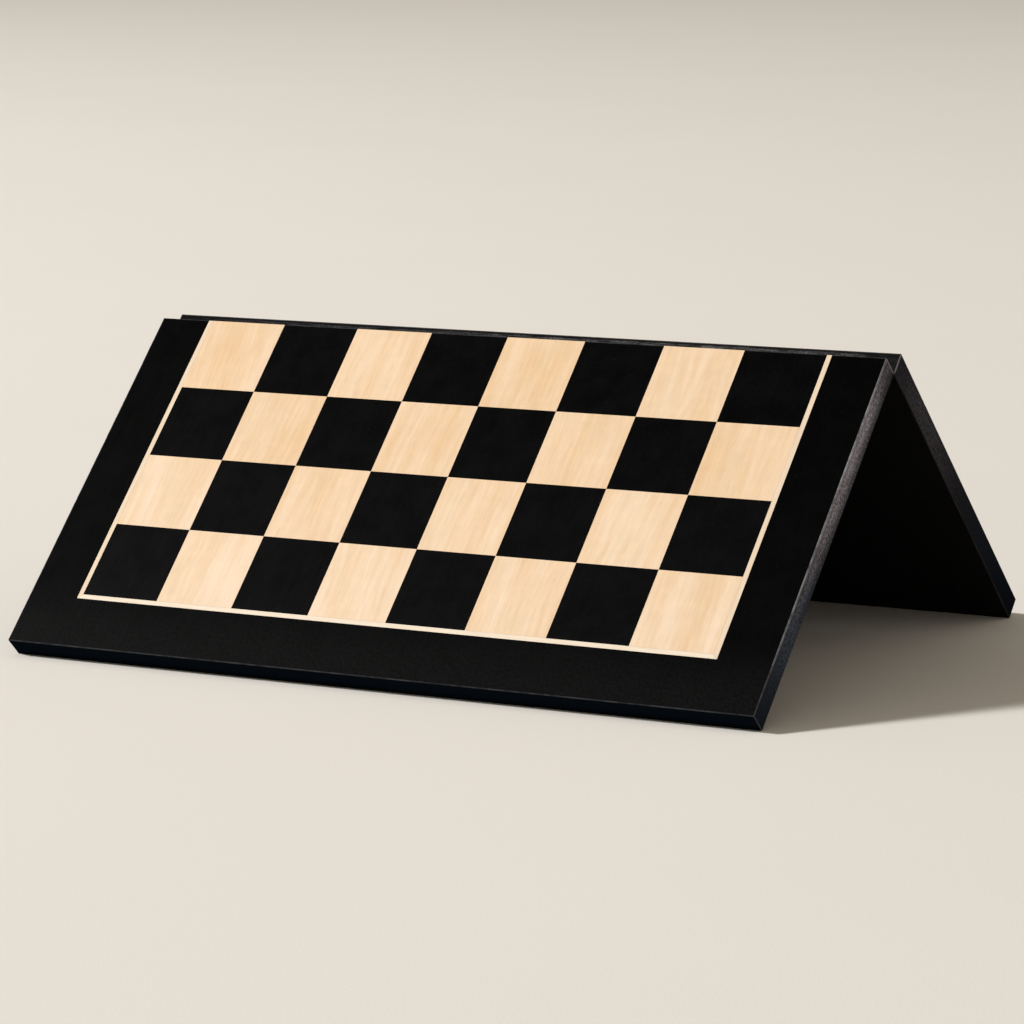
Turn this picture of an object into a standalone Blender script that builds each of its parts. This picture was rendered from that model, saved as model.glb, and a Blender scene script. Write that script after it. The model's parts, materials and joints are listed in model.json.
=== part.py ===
"""Folding chessboard that stands as a tent on its two outer edges.

Each half is a black core panel with a backing sheet below and a face of veneers above: dark and
light squares, a pale inlay strip round the field and a black border. Two butt hinges let into the
undersides join the halves. Their pins lie on the line where the undersides meet the mating faces,
so the halves fold flat back to back, stand as a tent and open to one flat board.

Every piece is laid out on the board lying open and flat, play face up, with the fold axis along X
through the origin: the front half towards -Y, the rear half towards +Y. Two pivots on the fold axis
then tilt the halves into the tent. A distance called "out" is measured from the fold axis.
"""

import math
from dataclasses import dataclass

import bmesh
import bpy

# Field and border, in metres
SQUARE = 0.050
FILES = 8
RANKS_PER_HALF = 4
INLAY_WIDTH = 0.003
BORDER_WIDTH = 0.0325

# Panel build-up
CORE_THICKNESS = 0.0124
FACE_VENEER = 0.0006
BACKING = 0.0006
GLUE_LINE = 0.0001
DARK_NECK = 0.0004
EASED_EDGE = 0.0003

# Fold
FOLD_CLEARANCE = 0.00015
TENT_ANGLE = math.radians(90.6)

# Butt hinges
HINGE_FROM_END = 0.075
HINGE_LENGTH = 0.030
LEAF_WIDTH = 0.012
LEAF_THICKNESS = 0.0009
LEAF_CLEARANCE = 0.0003
PIN_RADIUS = 0.0008
PIN_CLEARANCE = 0.00008
PIN_DOME = 0.0003
KNUCKLES = 3
KNUCKLE_GAP = 0.0002
BARREL_CLEARANCE = 0.0003
TONGUE_SHOULDER = 0.0002

# Countersunk screws
SCREW_FROM_LEAF_END = 0.006
SCREW_RADIUS = 0.0010
SCREW_HEAD_RADIUS = 0.0018
SCREW_TIP = 0.0022
WOOD_OVER_SCREW = 0.0040
SCREW_CLEARANCE = 0.0001
SCREW_SLOT_WIDTH = 0.0005
SCREW_SLOT_DEPTH = 0.00045

# Facets of the round pieces
BARREL_FACETS = 24
SCREW_FACETS = 16

# Worked out from the sizes above
FIELD_WIDTH = FILES * SQUARE
FIELD_DEPTH = RANKS_PER_HALF * SQUARE
BOARD_WIDTH = FIELD_WIDTH + 2 * (INLAY_WIDTH + BORDER_WIDTH)
MATING_FACE = FOLD_CLEARANCE
FIELD_END = MATING_FACE + FIELD_DEPTH
OUTER_EDGE = FIELD_END + INLAY_WIDTH + BORDER_WIDTH
UNDERSIDE = FOLD_CLEARANCE
CORE_BASE = UNDERSIDE + BACKING + GLUE_LINE
CORE_TOP = CORE_BASE + CORE_THICKNESS
FACE_BASE = CORE_TOP + GLUE_LINE
PLAY_FACE = FACE_BASE + FACE_VENEER
FACE_EASE = min(EASED_EDGE, FACE_VENEER / 2)
BACKING_EASE = min(EASED_EDGE, BACKING / 2)
BORE_RADIUS = PIN_RADIUS + PIN_CLEARANCE
BARREL_RADIUS = BORE_RADIUS + LEAF_THICKNESS
BARREL_RECESS = BARREL_RADIUS + BARREL_CLEARANCE
TONGUE_END = BORE_RADIUS + LEAF_THICKNESS / 3
KNUCKLE_LENGTH = (HINGE_LENGTH - (KNUCKLES - 1) * KNUCKLE_GAP) / KNUCKLES
SCREW_OUT = (BARREL_RECESS + LEAF_WIDTH) / 2
SCREW_HEAD_DEPTH = SCREW_HEAD_RADIUS - SCREW_RADIUS
SCREW_POINT = CORE_TOP - WOOD_OVER_SCREW
HALF_TILT = (math.pi - TENT_ANGLE) / 2
FOOT_RISE = BACKING_EASE * min(math.sin(HALF_TILT), math.cos(HALF_TILT))
PIVOT_HEIGHT = OUTER_EDGE * math.sin(HALF_TILT) - UNDERSIDE * math.cos(HALF_TILT) - FOOT_RISE


@dataclass
class Half:
    """One half of the board: side is -1 for the front half and +1 for the rear one."""

    name: str
    side: int
    pivot: bpy.types.Object

    def rank(self, row):
        """Rank number of a row of squares, with row 0 next to the fold and rank 1 at the front."""
        if self.side < 0:
            return RANKS_PER_HALF - row
        return RANKS_PER_HALF + 1 + row

    def is_dark(self, file, row):
        """True on a dark square: the near left corner of the open board is dark."""
        return (file + 1 + self.rank(row)) % 2 == 0


@dataclass
class Hinge:
    """One butt hinge, centred at x on the fold axis."""

    name: str
    x: float

    def knuckle_span(self, index):
        """First and last x of one knuckle, counted from the left."""
        start = self.x - HINGE_LENGTH / 2 + index * (KNUCKLE_LENGTH + KNUCKLE_GAP)
        return start, start + KNUCKLE_LENGTH

    def screw_places(self):
        """The x of each screw of a leaf."""
        reach = HINGE_LENGTH / 2 - SCREW_FROM_LEAF_END
        return self.x - reach, self.x + reach


def clear_scene():
    for obj in list(bpy.data.objects):
        bpy.data.objects.remove(obj, do_unlink=True)


def finish(name, colour, roughness, metallic=0.0):
    """A plain material of one colour."""
    made = bpy.data.materials.new(name)
    made.use_nodes = True
    shader = made.node_tree.nodes["Principled BSDF"]
    shader.inputs["Base Color"].default_value = (*colour, 1.0)
    shader.inputs["Roughness"].default_value = roughness
    shader.inputs["Metallic"].default_value = metallic
    return made


def add_object(name, bm, parent, material=None):
    """An object from a bmesh, carried by a pivot. One with no material is a cutter or a joining tool."""
    bmesh.ops.recalc_face_normals(bm, faces=bm.faces)
    mesh = bpy.data.meshes.new(name)
    bm.to_mesh(mesh)
    bm.free()
    obj = bpy.data.objects.new(name, mesh)
    bpy.context.scene.collection.objects.link(obj)
    obj.parent = parent
    if material:
        mesh.materials.append(material)
    else:
        obj.hide_render = True
        obj.display_type = "WIRE"
    return obj


def shade_round(obj):
    """Smooth shading that keeps edges sharper than 40 degrees."""
    obj.data.shade_smooth()
    obj.data.set_sharp_from_angle(angle=math.radians(40))


def combine(target, tool, operation="DIFFERENCE"):
    modifier = target.modifiers.new(tool.name, "BOOLEAN")
    modifier.operation = operation
    modifier.solver = "EXACT"
    modifier.object = tool


def prism(half, outlines, low, high):
    """A closed sheet from low to high over outlines of (x, out) points. Shared edges join outlines."""
    bm = bmesh.new()
    corners = {}

    def corner(point, height):
        key = (round(point[0], 7), round(point[1], 7), height)
        if key not in corners:
            corners[key] = bm.verts.new((point[0], half.side * point[1], height))
        return corners[key]

    walls = {}
    for outline in outlines:
        bottom = [corner(point, low) for point in outline]
        top = [corner(point, high) for point in outline]
        bm.faces.new(bottom)
        bm.faces.new(top)
        for index in range(len(outline)):
            start, end = bottom[index - 1], bottom[index]
            if walls.pop((end, start), None) is None:
                walls[start, end] = (start, end, top[index], top[index - 1])
    for wall in walls.values():
        bm.faces.new(wall)
    return bm


def turned(profile, facets):
    """A closed body turned about Z from a closed profile of (radius, height) points."""
    bm = bmesh.new()
    turns = [math.tau * index / facets for index in range(facets)]
    rings = []
    for radius, height in profile:
        if radius:
            points = [(radius * math.cos(turn), radius * math.sin(turn), height) for turn in turns]
            rings.append([bm.verts.new(point) for point in points])
        else:
            rings.append([bm.verts.new((0, 0, height))] * facets)
    for ring, following in zip(rings, rings[1:] + rings[:1]):
        for index in range(facets):
            corners = dict.fromkeys((ring[index - 1], following[index - 1], following[index], ring[index]))
            if len(corners) > 2:
                bm.faces.new(corners)
    return bm


def rod_along_x(name, parent, radius, start, end, material=None, dome=0.0, bore=0.0):
    """A round rod on the fold axis from x = start to x = end, with domed ends or a bore if asked."""
    reach = (end - start) / 2
    profile = [(bore, -reach), (radius, dome - reach), (radius, reach - dome), (bore, reach)]
    rod = add_object(name, turned(profile, BARREL_FACETS), parent, material)
    rod.rotation_euler = (0, math.pi / 2, 0)
    rod.location.x = (start + end) / 2
    return rod


def panel_outline():
    """The outline of a half, with its two outer corners eased."""
    side = BOARD_WIDTH / 2
    return [
        (-side, MATING_FACE),
        (side, MATING_FACE),
        (side, OUTER_EDGE - EASED_EDGE),
        (side - EASED_EDGE, OUTER_EDGE),
        (EASED_EDGE - side, OUTER_EDGE),
        (-side, OUTER_EDGE - EASED_EDGE),
    ]


def ease_outer_edges(bm, height, width):
    """A chamfer along the left, right and outer edges of a sheet, at one of its faces."""
    side = BOARD_WIDTH / 2 - EASED_EDGE
    out = OUTER_EDGE - EASED_EDGE

    def on_edge(vert):
        x, y, z = vert.co
        near_rim = abs(x) > side - EASED_EDGE / 2 or abs(y) > out - EASED_EDGE / 2
        return near_rim and abs(z - height) < width / 2

    rim = [edge for edge in bm.edges if all(on_edge(vert) for vert in edge.verts)]
    bmesh.ops.bevel(bm, geom=rim, offset=width, segments=1, affect="EDGES")


def leaf_seat(hinge, start):
    """The outline of the shallow seat that a leaf lies in, from start outwards."""
    reach = HINGE_LENGTH / 2 + LEAF_CLEARANCE
    end = LEAF_WIDTH + LEAF_CLEARANCE
    return [
        (hinge.x - reach, start),
        (hinge.x + reach, start),
        (hinge.x + reach, end),
        (hinge.x - reach, end),
    ]


def make_core(half, hinges, material):
    """The black panel that carries everything, with seats for the hinges in its lower fold edge."""
    core = add_object(
        f"{half.name}_core", prism(half, [panel_outline()], CORE_BASE, CORE_TOP), half.pivot, material
    )
    for hinge in hinges:
        seat = prism(half, [leaf_seat(hinge, 0)], 0, UNDERSIDE + LEAF_THICKNESS + GLUE_LINE)
        combine(core, add_object(f"{half.name}_{hinge.name}_seat", seat, half.pivot))
        reach = (HINGE_LENGTH + LEAF_CLEARANCE) / 2
        combine(
            core,
            rod_along_x(
                f"{half.name}_{hinge.name}_barrel_room",
                half.pivot,
                BARREL_RECESS,
                hinge.x - reach,
                hinge.x + reach,
            ),
        )
        for number, x in enumerate(hinge.screw_places(), 1):
            radius = SCREW_RADIUS + SCREW_CLEARANCE
            depth = SCREW_POINT + SCREW_CLEARANCE
            profile = [(0, 0), (radius, 0), (radius, depth), (0, depth)]
            pilot = add_object(
                f"{half.name}_{hinge.name}_pilot_{number}", turned(profile, SCREW_FACETS), half.pivot
            )
            pilot.location = (x, half.side * SCREW_OUT, 0)
            combine(core, pilot)


def make_backing(half, hinges, material):
    """The thin sheet under the core, cut away round the hinge leaves."""
    outline = panel_outline()
    fold_edge = []
    for hinge in sorted(hinges, key=lambda hinge: hinge.x):
        near_left, near_right, far_right, far_left = leaf_seat(hinge, MATING_FACE)
        fold_edge += [near_left, far_left, far_right, near_right]
    sheet = prism(half, [[outline[0], *fold_edge, *outline[1:]]], UNDERSIDE, UNDERSIDE + BACKING)
    ease_outer_edges(sheet, UNDERSIDE, BACKING_EASE)
    add_object(f"{half.name}_backing_sheet", sheet, half.pivot, material)


def make_border(half, material):
    """The black veneer round the left, outer and right sides of the inlay."""
    outline = panel_outline()
    side = FIELD_WIDTH / 2 + INLAY_WIDTH + GLUE_LINE / 2
    end = FIELD_END + INLAY_WIDTH + GLUE_LINE / 2
    inner = [(-side, MATING_FACE), (-side, end), (side, end), (side, MATING_FACE)]
    sheet = prism(half, [[outline[0], *inner, *outline[1:]]], FACE_BASE, PLAY_FACE)
    ease_outer_edges(sheet, PLAY_FACE, FACE_EASE)
    add_object(f"{half.name}_border", sheet, half.pivot, material)


def make_inlays(half, material):
    """Three pale strips with mitred corners: left, right and outer."""
    seam = GLUE_LINE / 2
    mitre = GLUE_LINE / math.sqrt(2)
    inner, outer = FIELD_WIDTH / 2 + seam, FIELD_WIDTH / 2 + INLAY_WIDTH - seam
    near, far = FIELD_END + seam, FIELD_END + INLAY_WIDTH - seam
    for name, side in (("left", -1), ("right", 1)):
        strip = [
            (side * inner, MATING_FACE),
            (side * outer, MATING_FACE),
            (side * outer, far - mitre),
            (side * inner, near - mitre),
        ]
        sheet = prism(half, [strip], FACE_BASE, PLAY_FACE)
        add_object(f"{half.name}_{name}_inlay", sheet, half.pivot, material)
    inner, outer = inner - mitre, outer - mitre
    strip = [(-inner, near), (inner, near), (outer, far), (-outer, far)]
    sheet = prism(half, [strip], FACE_BASE, PLAY_FACE)
    add_object(f"{half.name}_outer_inlay", sheet, half.pivot, material)


def square_outline(file, row, dark):
    """The outline of one square. Where four squares meet, a neck joins the dark ones and clips the light."""
    seam = GLUE_LINE / 2
    neck_leg = GLUE_LINE + DARK_NECK / math.sqrt(2)
    neck_half = DARK_NECK / math.sqrt(2) / 2
    clip = neck_leg - (2 - math.sqrt(2)) * GLUE_LINE
    outline = []
    for right, far in ((0, 0), (1, 0), (1, 1), (0, 1)):
        column, line = file + right, row + far
        x, out = column * SQUARE - FIELD_WIDTH / 2, MATING_FACE + line * SQUARE
        inward_x, inward_out = 1 - 2 * right, 1 - 2 * far
        side_x = x + inward_x * seam
        side_out = out + inward_out * (seam if line else 0)
        if column in (0, FILES) or line in (0, RANKS_PER_HALF):
            points = [(side_x, side_out)]
        elif dark:
            points = [
                (side_x, out + inward_out * (neck_leg - seam)),
                (x - inward_x * neck_half, out + inward_out * neck_half),
                (x + inward_x * neck_half, out - inward_out * neck_half),
                (x + inward_x * (neck_leg - seam), side_out),
            ]
        else:
            points = [(side_x, side_out + inward_out * clip), (side_x + inward_x * clip, side_out)]
        outline += points if right == far else points[::-1]
    return outline


def make_squares(half, dark_material, light_material):
    """The chequer of a half: its dark squares in one sheet, and each light square by itself."""
    places = [(file, row) for row in range(RANKS_PER_HALF) for file in range(FILES)]
    dark = [square_outline(*place, True) for place in places if half.is_dark(*place)]
    sheet = prism(half, dark, FACE_BASE, PLAY_FACE)
    add_object(f"{half.name}_dark_squares", sheet, half.pivot, dark_material)
    for file, row in places:
        if half.is_dark(file, row):
            continue
        sheet = prism(half, [square_outline(file, row, False)], FACE_BASE, PLAY_FACE)
        letter = chr(ord("a") + file)
        add_object(f"light_square_{letter}{half.rank(row)}", sheet, half.pivot, light_material)


def make_leaf(half, hinge, knuckles, material):
    """A hinge leaf let in flush with the underside, rolled round the pin at its own knuckles."""
    left, right = hinge.x - HINGE_LENGTH / 2, hinge.x + HINGE_LENGTH / 2
    outline = [(right, BARREL_RECESS), (right, LEAF_WIDTH), (left, LEAF_WIDTH), (left, BARREL_RECESS)]
    for index in knuckles:
        start, end = hinge.knuckle_span(index)
        start, end = start + TONGUE_SHOULDER, end - TONGUE_SHOULDER
        outline += [(start, BARREL_RECESS), (start, TONGUE_END), (end, TONGUE_END), (end, BARREL_RECESS)]
    name = f"{hinge.name}_{half.name}_leaf"
    plate = prism(half, [outline], UNDERSIDE, UNDERSIDE + LEAF_THICKNESS)
    leaf = add_object(name, plate, half.pivot, material)
    for index in knuckles:
        start, end = hinge.knuckle_span(index)
        barrel = f"{name}_knuckle_{index + 1}"
        tube = rod_along_x(barrel, half.pivot, BARREL_RADIUS, start, end, bore=BORE_RADIUS)
        combine(leaf, tube, "UNION")
    shank = SCREW_RADIUS + SCREW_CLEARANCE
    head = SCREW_HEAD_RADIUS + SCREW_CLEARANCE
    past = UNDERSIDE + LEAF_THICKNESS + SCREW_HEAD_DEPTH
    profile = [
        (0, UNDERSIDE - shank),
        (head + shank, UNDERSIDE - shank),
        (shank, UNDERSIDE + SCREW_HEAD_DEPTH),
        (shank, past),
        (0, past),
    ]
    for number, x in enumerate(hinge.screw_places(), 1):
        hole = add_object(f"{name}_hole_{number}", turned(profile, SCREW_FACETS), half.pivot)
        hole.location = (x, half.side * SCREW_OUT, 0)
        combine(leaf, hole)
    shade_round(leaf)


def make_screws(half, hinge, material):
    """Slotted countersunk screws, heads flush with the face of the leaf, points up into the core."""
    profile = [
        (0, UNDERSIDE),
        (SCREW_HEAD_RADIUS, UNDERSIDE),
        (SCREW_RADIUS, UNDERSIDE + SCREW_HEAD_DEPTH),
        (SCREW_RADIUS, SCREW_POINT - SCREW_TIP),
        (0, SCREW_POINT),
    ]
    reach, half_slot = 2 * SCREW_HEAD_RADIUS, SCREW_SLOT_WIDTH / 2
    slot = [(-reach, -half_slot), (reach, -half_slot), (reach, half_slot), (-reach, half_slot)]
    for number, x in enumerate(hinge.screw_places(), 1):
        name = f"{hinge.name}_{half.name}_screw_{number}"
        place = (x, half.side * SCREW_OUT, 0)
        screw = add_object(name, turned(profile, SCREW_FACETS), half.pivot, material)
        screw.location = place
        cut = prism(half, [slot], UNDERSIDE - SCREW_SLOT_DEPTH, UNDERSIDE + SCREW_SLOT_DEPTH)
        cutter = add_object(f"{name}_slot", cut, half.pivot)
        cutter.location = place
        combine(screw, cutter)
        shade_round(screw)


def make_pin(half, hinge, material):
    """The hinge pin, which stays with the front leaf."""
    reach = HINGE_LENGTH / 2
    pin = rod_along_x(
        f"{hinge.name}_pin", half.pivot, PIN_RADIUS, hinge.x - reach, hinge.x + reach, material, PIN_DOME
    )
    shade_round(pin)


def make_half(name, side):
    """A half's pivot on the fold axis, tilted to its side of the tent."""
    pivot = bpy.data.objects.new(f"{name}_pivot", None)
    bpy.context.scene.collection.objects.link(pivot)
    pivot.location.z = PIVOT_HEIGHT
    pivot.rotation_euler.x = -side * HALF_TILT
    return Half(name, side, pivot)


def main():
    clear_scene()
    black_board = finish("black_board", (0.022, 0.022, 0.026), 0.65)
    black_sheet = finish("black_sheet", (0.010, 0.010, 0.011), 0.60)
    dark_veneer = finish("dark_veneer", (0.008, 0.008, 0.009), 0.35)
    maple = finish("maple", (0.74, 0.52, 0.33), 0.40)
    pale_inlay = finish("pale_inlay", (0.82, 0.66, 0.47), 0.40)
    brass = finish("brass", (0.72, 0.51, 0.20), 0.35, 1.0)
    steel = finish("steel", (0.56, 0.57, 0.58), 0.30, 1.0)

    front, rear = make_half("front", -1), make_half("rear", 1)
    hinge_x = BOARD_WIDTH / 2 - HINGE_FROM_END
    hinges = [Hinge("left_hinge", -hinge_x), Hinge("right_hinge", hinge_x)]
    for half, first_knuckle in ((front, 0), (rear, 1)):
        make_core(half, hinges, black_board)
        make_backing(half, hinges, black_sheet)
        make_border(half, dark_veneer)
        make_inlays(half, pale_inlay)
        make_squares(half, dark_veneer, maple)
        for hinge in hinges:
            make_leaf(half, hinge, range(first_knuckle, KNUCKLES, 2), brass)
            make_screws(half, hinge, brass)
    for hinge in hinges:
        make_pin(front, hinge, steel)


main()
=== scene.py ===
"""Looks of a folding chessboard that stands as a tent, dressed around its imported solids.

Every piece is laid out on the board lying open and flat, play face up, with the fold axis along X through
the origin: the front half towards -Y, the rear half towards +Y. A distance called "out" is measured from
the fold axis. Each half is then tilted into the tent about the fold joint that the frame gives.
"""

import json
import logging
import math
from dataclasses import dataclass, replace
from enum import Enum
from typing import Callable, Mapping, Optional, Sequence, Union

import bmesh
import bpy
from mathutils import Matrix, Vector


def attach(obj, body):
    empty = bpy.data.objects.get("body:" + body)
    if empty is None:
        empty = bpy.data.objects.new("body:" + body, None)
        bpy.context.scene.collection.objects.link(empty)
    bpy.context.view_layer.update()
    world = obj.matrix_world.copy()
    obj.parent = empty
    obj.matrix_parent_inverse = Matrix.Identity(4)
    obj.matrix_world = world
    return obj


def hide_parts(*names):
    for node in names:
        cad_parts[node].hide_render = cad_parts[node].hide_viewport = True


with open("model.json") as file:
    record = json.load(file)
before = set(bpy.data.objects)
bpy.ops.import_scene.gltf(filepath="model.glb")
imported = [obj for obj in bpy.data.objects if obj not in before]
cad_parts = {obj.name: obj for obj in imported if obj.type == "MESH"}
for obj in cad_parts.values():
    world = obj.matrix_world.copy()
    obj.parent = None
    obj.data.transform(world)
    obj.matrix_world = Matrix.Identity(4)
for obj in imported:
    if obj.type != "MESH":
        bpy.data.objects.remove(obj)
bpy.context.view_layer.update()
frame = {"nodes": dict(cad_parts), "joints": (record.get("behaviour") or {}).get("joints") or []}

LOG = logging.getLogger("folding_board")

# Lengths that differ by less than this count as equal, in metres.
NEARLY = 1e-6

Colour = tuple[float, float, float]
Point = tuple[float, float]
Spot = Sequence[float]
Mesh = bmesh.types.BMesh
Material = bpy.types.Material


class Grain(Enum):
    """Which way the grain of a strip or square runs."""

    FROM_RIDGE = "from the ridge to the outer edge"
    ALONG_RIDGE = "along the ridge"


class Join(Enum):
    """How one mesh meets another."""

    UNION = "UNION"
    CUT = "DIFFERENCE"


@dataclass(frozen=True)
class BoardLayout:
    """Sizes of the open board in metres, and the fold that tilts its halves."""

    pivot_height: float
    half_tilt: float
    square: float = 0.050
    files: int = 8
    ranks_per_half: int = 4
    inlay_width: float = 0.003
    border_width: float = 0.0325
    fold_clearance: float = 0.00015
    core_thickness: float = 0.0124
    veneer: float = 0.0006
    glue_line: float = 0.0001
    eased_corner: float = 0.0003
    hinge_from_end: float = 0.075

    @classmethod
    def from_joint(cls, joint: Mapping) -> "BoardLayout":
        """Reads the fold from the frame's joint.

        Args:
            joint: The fold joint, whose lower limit closes the halves back to back.

        Returns:
            The layout of this board.
        """
        tent_angle = -math.radians(joint["range_deg"][0])
        return cls(pivot_height=joint["pos_m"][2], half_tilt=(math.pi - tent_angle) / 2)

    @property
    def field_width(self) -> float:
        """Width of the chequer along the ridge."""
        return self.files * self.square

    @property
    def field_end(self) -> float:
        """Out of the last row's far edge."""
        return self.fold_clearance + self.ranks_per_half * self.square

    @property
    def half_width(self) -> float:
        """From the middle of the board to its left or right end."""
        return self.field_width / 2 + self.inlay_width + self.border_width

    @property
    def outer_edge(self) -> float:
        """Out of the edge that the tent stands on."""
        return self.field_end + self.inlay_width + self.border_width

    @property
    def core_base(self) -> float:
        """Height of the core's lower face."""
        return self.fold_clearance + self.veneer + self.glue_line

    @property
    def core_top(self) -> float:
        """Height of the core's upper face."""
        return self.core_base + self.core_thickness

    @property
    def face_base(self) -> float:
        """Height of the lower face of the face veneers."""
        return self.core_top + self.glue_line

    @property
    def play_face(self) -> float:
        """Height of the play face."""
        return self.face_base + self.veneer


@dataclass(frozen=True)
class Half:
    """One half of the board: side is -1 for the front half and +1 for the rear one."""

    name: str
    side: int
    layout: BoardLayout

    @property
    def body(self) -> str:
        """The body of the frame that this half rides on."""
        return f"{self.name}_half"

    @property
    def stand(self) -> Matrix:
        """Turns a point of the flat board into its place in the tent."""
        lift = Matrix.Translation((0, 0, self.layout.pivot_height))
        return lift @ Matrix.Rotation(-self.side * self.layout.half_tilt, 4, "X")

    def rank(self, row: int) -> int:
        """Rank number of a row of squares.

        Args:
            row: The row, with 0 next to the fold.

        Returns:
            The rank as players count it, from 1 in front.
        """
        if self.side < 0:
            return self.layout.ranks_per_half - row
        return self.layout.ranks_per_half + 1 + row

    def is_dark(self, file: int, row: int) -> bool:
        """True on a dark square: the near left corner of the open board is dark."""
        return (file + 1 + self.rank(row)) % 2 == 0

    def square_name(self, file: int, row: int) -> str:
        """Name of a square as players call it, such as a1."""
        return f"{chr(ord('a') + file)}{self.rank(row)}"


class Signal:
    """A shader output that joins in Python arithmetic."""

    def __init__(self, graph: "FinishGraph", socket: bpy.types.NodeSocket) -> None:
        """Wraps one output socket of a graph."""
        self.graph = graph
        self.socket = socket

    @property
    def is_value(self) -> bool:
        """True for a plain number, False for a colour or a vector."""
        return self.socket.type == "VALUE"

    def output(self, name: str) -> "Signal":
        """Another output of the same node."""
        return Signal(self.graph, pick_socket(self.socket.node.outputs, name))

    def __add__(self, other: "Operand") -> "Signal":
        """Sum."""
        return self.graph.arithmetic("ADD", self, other)

    __radd__ = __add__

    def __sub__(self, other: "Operand") -> "Signal":
        """Difference."""
        return self.graph.arithmetic("SUBTRACT", self, other)

    def __rsub__(self, other: "Operand") -> "Signal":
        """Difference from a number."""
        return self.graph.arithmetic("SUBTRACT", other, self)

    def __mul__(self, other: "Operand") -> "Signal":
        """Product."""
        return self.graph.arithmetic("MULTIPLY", self, other)

    __rmul__ = __mul__

    def __truediv__(self, other: "Operand") -> "Signal":
        """Quotient."""
        return self.graph.arithmetic("DIVIDE", self, other)

    def __rtruediv__(self, other: "Operand") -> "Signal":
        """Quotient of a number."""
        return self.graph.arithmetic("DIVIDE", other, self)

    def __abs__(self) -> "Signal":
        """Distance from zero."""
        return self.graph.arithmetic("ABSOLUTE", self, 0.0)

    def __floor__(self) -> "Signal":
        """Whole part, rounded down."""
        return self.graph.arithmetic("FLOOR", self, 0.0)

    def lesser(self, other: "Operand") -> "Signal":
        """The lesser of the two."""
        return self.graph.arithmetic("MINIMUM", self, other)

    def greater(self, other: "Operand") -> "Signal":
        """The greater of the two."""
        return self.graph.arithmetic("MAXIMUM", self, other)

    def rise(self, start: float, end: float) -> "Signal":
        """A smooth step.

        Args:
            start: Where the step is 0.
            end: Where the step is 1. It may lie below start.

        Returns:
            A value from 0 to 1.
        """
        low, high, first, last = (start, end, 0.0, 1.0) if start < end else (end, start, 1.0, 0.0)
        return self.graph.signal(
            "ShaderNodeMapRange",
            {"interpolation_type": "SMOOTHSTEP"},
            {"Value": self, "From Min": low, "From Max": high, "To Min": first, "To Max": last},
        )


Operand = Union[Signal, float, Sequence[float]]


def pick_socket(sockets: Sequence[bpy.types.NodeSocket], key: Union[str, int]) -> bpy.types.NodeSocket:
    """Finds a socket that is in use.

    Args:
        sockets: A node's inputs or outputs.
        key: The socket's name or number, or an empty name for any.

    Returns:
        The first socket in use of that name, or the one of that number.
    """
    if isinstance(key, int):
        return sockets[key]
    return next(socket for socket in sockets if socket.enabled and key in ("", socket.name))


@dataclass(frozen=True)
class BoardPlace:
    """Where a shaded point lies on the open board, the same at every pose."""

    layout: BoardLayout
    x: Signal
    out: Signal
    height: Signal
    is_rear: Signal

    @property
    def graph(self) -> "FinishGraph":
        """The tree that the place is read in."""
        return self.x.graph

    @property
    def to_end(self) -> Signal:
        """Distance to the left or right end."""
        return self.layout.half_width - abs(self.x)

    @property
    def to_foot(self) -> Signal:
        """Distance to the edge that the tent stands on."""
        return self.layout.outer_edge - self.out

    @property
    def to_fold(self) -> Signal:
        """Distance to the fold edge."""
        return self.out - self.layout.fold_clearance

    @property
    def fold_face(self) -> Signal:
        """1 on the face veneers' own edge at the fold, 0 elsewhere."""
        return self.to_fold.rise(0.00007, 0.00002)

    @property
    def below_face(self) -> Signal:
        """Depth below the core's upper face."""
        return self.layout.core_top - self.height

    def end_rubbing(self) -> Signal:
        """How bare the ends are rubbed.

        Returns:
            A value from 0 to 1: most in the upper middle, next to nothing at the foot.
        """
        from_ridge = 0.3 + 0.7 * self.out.rise(0.0, 0.042)
        return from_ridge * (0.5 * self.out.rise(0.140, 0.085) + 0.5 * self.out.rise(0.240, 0.125))

    def noise(
        self, across: float, along: float, layer: Operand, detail: float = 2.0, roughness: float = 0.5
    ) -> Signal:
        """Soft noise that is laid out on the board.

        Args:
            across: Blotches per metre along X.
            along: Blotches per metre out from the fold.
            layer: Which sheet of the noise is read, or its depth in blotches.
            detail: How many finer layers lie over it.
            roughness: How strong those layers are.

        Returns:
            A value from 0 to 1, mostly near 0.5.
        """
        at = self.graph.vector(self.x * across, self.out * along, layer)
        return self.graph.noise(at, detail, roughness)


@dataclass(frozen=True)
class Surface:
    """What varies over a finish."""

    colour: Signal
    roughness: Signal
    relief: Signal


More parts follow.
